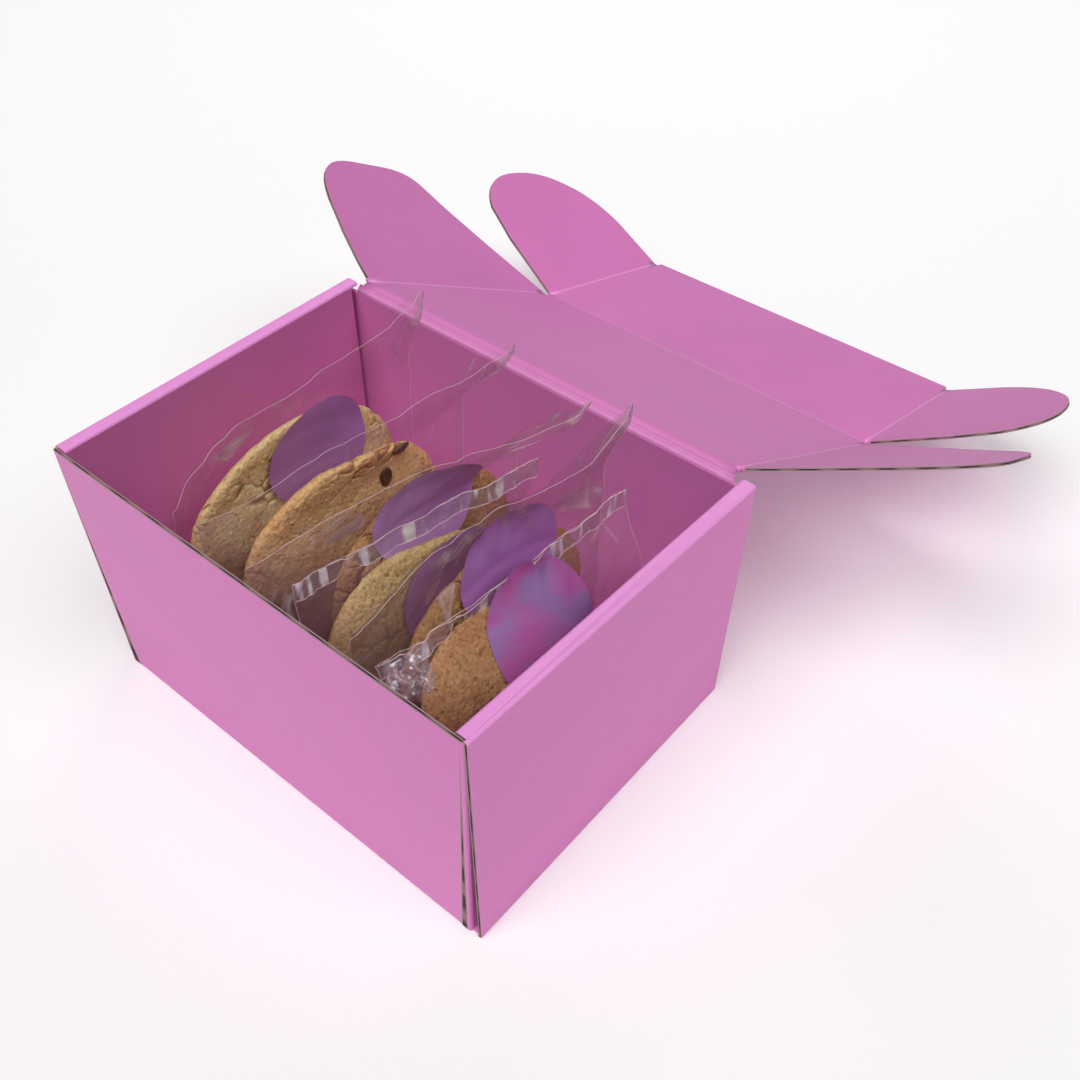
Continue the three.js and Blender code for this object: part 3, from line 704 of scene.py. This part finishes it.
def gleam(bag, y, z):
    """How strong the painted highlight on a film is at a spot, by the patches and folds listed above, 0 to 1."""
    best = 0.0
    here = Vector((y, z)) / MM
    for corners in GLEAMS.get(bag.number, []):
        points = [Vector(c) for c in corners]
        if len(points) == 2:
            run = points[1] - points[0]
            t = min(max((here - points[0]).dot(run) / run.length_squared, 0.0), 1.0)
            best = max(best, 0.9 - (here - points[0] - run * t).length / 1.9)
            continue
        centre = sum(points, Vector((0, 0))) / len(points)
        inside = 99.0
        for a, b in zip(points, points[1:] + points[:1]):
            square = Vector((-(b - a).y, (b - a).x)).normalized()
            if square.dot(centre - a) < 0:
                square = -square
            inside = min(inside, square.dot(here - a))
        # the painted highlight is brightest along the border, where the film doubles back, and paler inside
        best = max(best, smooth_step(inside, -0.6, 0.4) * (0.5 + 0.45 * (1 - smooth_step(inside, 0.3, 2.2))))
    return best


def wrinkle(bag, y, z):
    """How far a film waves at a spot of the bag, and how sharp a fold runs there, 0 to 1."""
    away = math.hypot(y - bag.middle.y, z - bag.middle.z) / bag.radius
    free = smooth_step(away, 0.92, 1.2)
    here = Vector((y, z, 0)) / MM
    long = noise.noise(Vector((here.x * 0.060 + here.y * 0.022, here.y * 0.012, bag.number * 3.1)))
    short = noise.noise(Vector((here.x * 0.10 - here.y * 0.06, here.y * 0.03, bag.number * 5.7)))
    patch = smooth_step(noise.noise(Vector((here.x * 0.045, here.y * 0.05, bag.number * 9.3))), 0.05, 0.35)
    fold = max(1 - abs(long) / 0.035, 1 - abs(short) / 0.05, 0.0) * patch * free
    height = (2.6 * (0.2 - abs(long)) + 1.3 * (0.2 - abs(short))) * free
    if bag.number == 6:
        crush = 1 - smooth_step(y, -50 * MM, -34 * MM)
        crumple = noise.noise(here * 0.19 + Vector((0, 0, 4.4)))
        height += 5.0 * (abs(crumple) - 0.2) * crush * free
        fold = max(fold, (1 - abs(crumple) / 0.12) * crush * free)
    # the fold value also sets how whitish the film is painted there, a painted highlight that takes in the listed
    # patches
    fold = max(fold * 0.8, gleam(bag, y, z))
    # painted shade: bag 5's film is thicker towards its front
    if bag.number == 5:
        free *= 1 + 1.2 * (1 - smooth_step(y, -30 * MM, 0.0))
    return height * MM, fold, free


def gape(bag, s, v):
    """How far the mouth of an open bag stands apart: a little all along, and more near its back end."""
    if bag.sealed:
        return 0.0
    mouth = math.sin(math.pi * min(max((s - 0.76) / 0.24, 0.0), 1.0)) ** 0.8
    return (0.25 * math.sin(math.pi * s) + 2.6 * mouth) * smooth_step(v, 0.80, 1.0) * MM


def film_point(bag, s, v, side):
    point = bag.sheet_middle(s, v)
    rim = smooth_step(s, 0.0, 0.04) * (1 - smooth_step(s, 0.96, 1.0)) * smooth_step(v, 0.0, 0.04)
    if bag.sealed:
        rim *= 1 - smooth_step(v, 0.9, 0.93)
    half = bag.half(point.y, point.z)
    point.x += side * (half + gape(bag, s, v)) * rim + wrinkle(bag, point.y, point.z)[0]
    return point


# %% Line the edges of a film
def rod(bm, points, radius, material_index):
    """A thin rod along a line of points, added to bm. Its ring of five points is carried from one point
    of the line to the next by extruding it."""
    ring = bmesh.ops.create_circle(bm, segments=5, radius=radius)["verts"]
    way = (points[1] - points[0]).normalized()
    for v in ring:
        v.co = way.to_track_quat("Z", "X") @ v.co + points[0]
    edges = list({e for v in ring for e in v.link_edges})
    faces = set()
    for before, after in zip(points, points[1:]):
        grown = bmesh.ops.extrude_edge_only(bm, edges=edges)["geom"]
        fresh = [g for g in grown if isinstance(g, bmesh.types.BMVert)]
        bmesh.ops.translate(bm, verts=fresh, vec=after - before)
        faces |= {g for g in grown if isinstance(g, bmesh.types.BMFace)}
        edges = [g for g in grown if isinstance(g, bmesh.types.BMEdge) and all(v in fresh for v in g.verts)]
    for face in faces:
        face.material_index = material_index
    return faces


CUT = 113 * MM


def marked(bm, bag):
    """The film's attributes: where it hangs free, where a fold runs, and where painted shade darkens it low in front.
    """
    free_layer = bm.verts.layers.float.new("free")
    fold_and_glint_layer = bm.verts.layers.float.new("fold")
    shade_layer = bm.verts.layers.float.new("shade")
    for v in bm.verts:
        _, v[fold_and_glint_layer], v[free_layer] = wrinkle(bag, v.co.y, v.co.z)
        # painted shade, strongest low in front of bags 2, 3 and 4
        if bag.number in (2, 3, 4):
            low = 1 - smooth_step(v.co.z + 0.45 * v.co.y, 48 * MM, 82 * MM)
            v[shade_layer] = low * (1 - smooth_step(v.co.y, -30 * MM, 10 * MM))


def bag_film(number, across=130, up=110):
    bag = bags[number]
    finish = shaded_film if number == 5 else film
    bm = bmesh.new()
    for side in (-1, 1):
        part = sheet(across, up, lambda s, v: film_point(bag, s, v, side))
        if side > 0:
            bmesh.ops.reverse_faces(part, faces=part.faces)
        mesh = bpy.data.meshes.new("side")
        part.to_mesh(mesh)
        part.free()
        bm.from_mesh(mesh)
        bpy.data.meshes.remove(mesh)
    rim = [v for v in bm.verts if v.is_boundary]
    bmesh.ops.remove_doubles(bm, verts=rim, dist=0.02 * MM)
    marked(bm, bag)
    for side in (1,):
        line = [film_point(bag, 0, 0.35 + 0.65 * i / 20, side) for i in range(20)]
        line += [film_point(bag, i / 90, 1, side) for i in range(91)]
        line += [film_point(bag, 1, 1 - 0.65 * i / 20, side) for i in range(1, 21)]
        rod(bm, line, 0.14 * MM, 1)
    node = f"bag_{number}_lip"
    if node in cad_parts:
        bmesh.ops.bisect_plane(bm, geom=[*bm.verts, *bm.edges, *bm.faces], plane_co=(0, 0, CUT),
                               plane_no=(0, 0, 1))
        upper = bm.copy()
        bmesh.ops.delete(bm, geom=[f for f in bm.faces if f.calc_center_median().z > CUT], context="FACES")
        bmesh.ops.delete(upper, geom=[f for f in upper.faces if f.calc_center_median().z < CUT], context="FACES")
        lip = piece(f"film_{number}_lip", upper, finish, lip_edge, smooth_angle=180)
        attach(lip, "box")
        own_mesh(lip)
        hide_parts(node)
        lip.visible_shadow = False
    body = piece(f"film_{number}", bm, finish, lip_edge, smooth_angle=180)
    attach(body, "box")
    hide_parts(f"bag_{number}")
    body.visible_shadow = False
    print(body.name, len(body.data.polygons), "faces")


for number in bags:
    bag_film(number)

# %% [markdown]
# ### Sealed ends
#
# Two bags were closed by a hot bar. It leaves a band of film 8.5 mm high, crimped into fine ribs and
# crinkled, that catches the light in painted white glints. The band is its own grid, laid just in front of the bag's
# lip.

# %% Crimped bands
BAND = 8.5 * MM


def seal_band(number, pinches):
    bag = bags[number]

    def place(s, v):
        top = film_point(bag, s, 1, 1)
        pinch = max(math.exp(-((s - at) / 0.025) ** 2) for at in pinches)
        low = BAND * (1 - 0.75 * pinch)
        crinkle = noise.noise(Vector((s * 19, v * 0.8, number)))
        twist = noise.noise(Vector((s * 7, v * 1.5, number + 30)))
        lean = (1.3 * abs(crinkle) + 1.6 * twist * (v - 0.5)) * MM + 2.0 * MM * pinch * (v - 0.5)
        return top + Vector((0.4 * MM + lean, 0, 0.5 * MM - low * (1 - v)))

    bm = sheet(240, 10, place)
    free_layer = bm.verts.layers.float.new("free")
    fold_and_glint_layer = bm.verts.layers.float.new("fold")
    for v in bm.verts:
        here = v.co / MM
        v[free_layer] = 1
        # painted glints: white streaks across the band
        streak = noise.noise(Vector((here.y * 0.30, here.z * 0.05, number * 2.2)))
        v[fold_and_glint_layer] = smooth_step(streak, 0.12, 0.4)
    line = [place(i / 120, 1) for i in range(121)]
    rod(bm, line, 0.15 * MM, 1)
    rod(bm, [place(i / 120, 0) for i in range(121)], 0.13 * MM, 1)
    obj = piece(f"seal_{number}", bm, seal_film, lip_edge, smooth_angle=180)
    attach(obj, "box")
    obj.visible_shadow = False
    print(obj.name, len(obj.data.polygons), "faces")


seal_band(4, [0.24])
seal_band(6, [0.33, 0.12])

# %% A crumpled corner
def crumple(number, first, last, low, high):
    """Film bunched up at the front of a bag, by the shares of the bag's run and height it fills."""
    bag = bags[number]

    def place(u, v):
        point = bag.sheet_middle(first + (last - first) * u, low + (high - low) * v)
        soft = (math.sin(math.pi * u) * math.sin(math.pi * v)) ** 0.5
        rough = abs(noise.noise(Vector((u * 3.1, v * 2.6, 2.2)))) + 0.5 * abs(noise.noise(Vector((u * 7, v * 6, 8.1))))
        return point + Vector((1.2 + 9.0 * rough * soft, 1.5 * (rough - 0.3) * soft, 2.0 * (rough - 0.3) * soft)) * MM

    bm = sheet(90, 70, place)
    free_layer = bm.verts.layers.float.new("free")
    fold_and_glint_layer = bm.verts.layers.float.new("fold")
    for v in bm.verts:
        v[free_layer] = 0.9
        # painted glints: white fold patches on the crumpled film
        v[fold_and_glint_layer] = 0.8 * smooth_step(noise.noise(v.co / (2.6 * MM)), 0.30, 0.5)
    obj = piece(f"crumple_{number}", bm, seal_film, smooth_angle=180)
    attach(obj, "box")
    obj.visible_shadow = False
    print(obj.name, len(obj.data.polygons), "faces")


crumple(6, 0.01, 0.20, 0.84, 0.99)

# %% [markdown]
# ## Labels
#
# Five bags carry a round satin label. A label is a disc laid on the film: its grid of rings is placed by
# the film's own shape, so that it curves as the bag does.

# %% Labels
LABELS = {1: (8, 91), 3: (11, 91), 4: (-1, 74), 5: (9, 92), 6: (1, 79)}
LABEL_RADIUS = 24.8 * MM


def satin(name, first, second, scale):
    f = Finish(name, Roughness=0.42, Specular_IOR_Level=0.5)
    cloud = f.noise(scale, 2.0, 0.5, distortion=0.6)
    grain = f.noise(1500.0, 2.0, 0.5)
    colour = f.mix(f.ramp(cloud, (0.38, 0.0), (0.62, 1.0)), first, second)
    return f.finish(Base_Color=colour, Normal=f.bump(grain, 0.00004, 0.4))


violet = satin("violet_label", (0.42, 0.20, 0.56), (0.48, 0.22, 0.58), 30.0)
lilac = satin("lilac_label", (0.62, 0.33, 0.78), (0.66, 0.36, 0.80), 30.0)
orchid = satin("orchid_label", (0.55, 0.21, 0.62), (0.47, 0.24, 0.62), 35.0)
marbled = satin("marbled_label", (0.50, 0.13, 0.40), (0.34, 0.20, 0.46), 60.0)
LABEL_FINISH = {1: violet, 3: lilac, 4: violet, 5: orchid, 6: marbled}


def label(number, y, z):
    bag = bags[number]
    centre = Vector((0, y, z)) * MM
    bm = bmesh.new()
    bmesh.ops.create_circle(bm, segments=96, radius=LABEL_RADIUS, cap_ends=True)
    for ring in range(11):
        inner = [f for f in bm.faces if len(f.verts) > 4]
        bmesh.ops.inset_region(bm, faces=inner, thickness=LABEL_RADIUS / 12, use_boundary=True,
                               use_even_offset=False)
    for v in bm.verts:
        y, z = centre.y + v.co.x, centre.z + v.co.y
        x = bag.lean_at(y, z) + bag.half(y, z) + wrinkle(bag, y, z)[0] + 0.25 * MM
        v.co = Vector((x, y, z))
    bmesh.ops.recalc_face_normals(bm, faces=bm.faces)
    obj = piece(f"label_disc_{number}", bm, LABEL_FINISH[number], smooth_angle=60)
    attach(obj, "box")
    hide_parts(f"label_{number}")
    print(obj.name, len(obj.data.polygons), "faces")


for number, place in LABELS.items():
    label(number, *place)

# %% [markdown]
# ## Camera, floor and light

# %% Stage
camera = bpy.data.objects.new("camera", bpy.data.cameras.new("camera"))
bpy.context.collection.objects.link(camera)
camera.location = (0.25214, -0.22299, 0.40786)
camera.rotation_euler = [math.radians(a) for a in (45.527, -0.393, 39.917)]
camera.data.lens = 40.277
camera.data.clip_start = 0.01
bpy.context.scene.camera = camera

bm = bmesh.new()
bmesh.ops.create_grid(bm, x_segments=2, y_segments=2, size=3)
white = Finish("white_floor", Roughness=0.9).finish(Base_Color=(0.93, 0.93, 0.93), Emission_Color=(1, 1, 1),
                                                   Emission_Strength=0.14)
floor = piece("floor", bm, white)
floor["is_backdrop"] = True

world = bpy.data.worlds.new("studio")
bpy.context.scene.world = world
world.use_nodes = True
world.node_tree.nodes["Background"].inputs["Color"].default_value = (1, 1, 1, 1)
world.node_tree.nodes["Background"].inputs["Strength"].default_value = 0.03
bpy.context.scene.view_settings.view_transform = "Standard"


def softbox(name, place, aim, size, power):
    lamp = bpy.data.objects.new(name, bpy.data.lights.new(name, "AREA"))
    lamp.data.energy = power
    lamp.data.size = size
    lamp.location = place
    lamp.rotation_euler = (Vector(aim) - Vector(place)).to_track_quat("-Z", "Y").to_euler()
    bpy.context.collection.objects.link(lamp)


def soft_sun(name, towards, strength):
    """A very wide sun, so that it acts as a big diffuser. towards points from the box to the light."""
    lamp = bpy.data.objects.new(name, bpy.data.lights.new(name, "SUN"))
    lamp.data.energy = strength
    lamp.data.angle = math.radians(40)
    lamp.rotation_euler = Vector(towards).to_track_quat("Z", "Y").to_euler()
    bpy.context.collection.objects.link(lamp)


soft_sun("key", (0, -0.5, 0.87), 1.80)
soft_sun("fill", (0.55, 0, 0.83), 1.0)
softbox("back", (-0.5, 0.9, 1.0), (0, 0, 0.1), 0.6, 2)
low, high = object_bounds()
print("the dressed box is", [round(1000 * v, 1) for v in high - low], "mm")
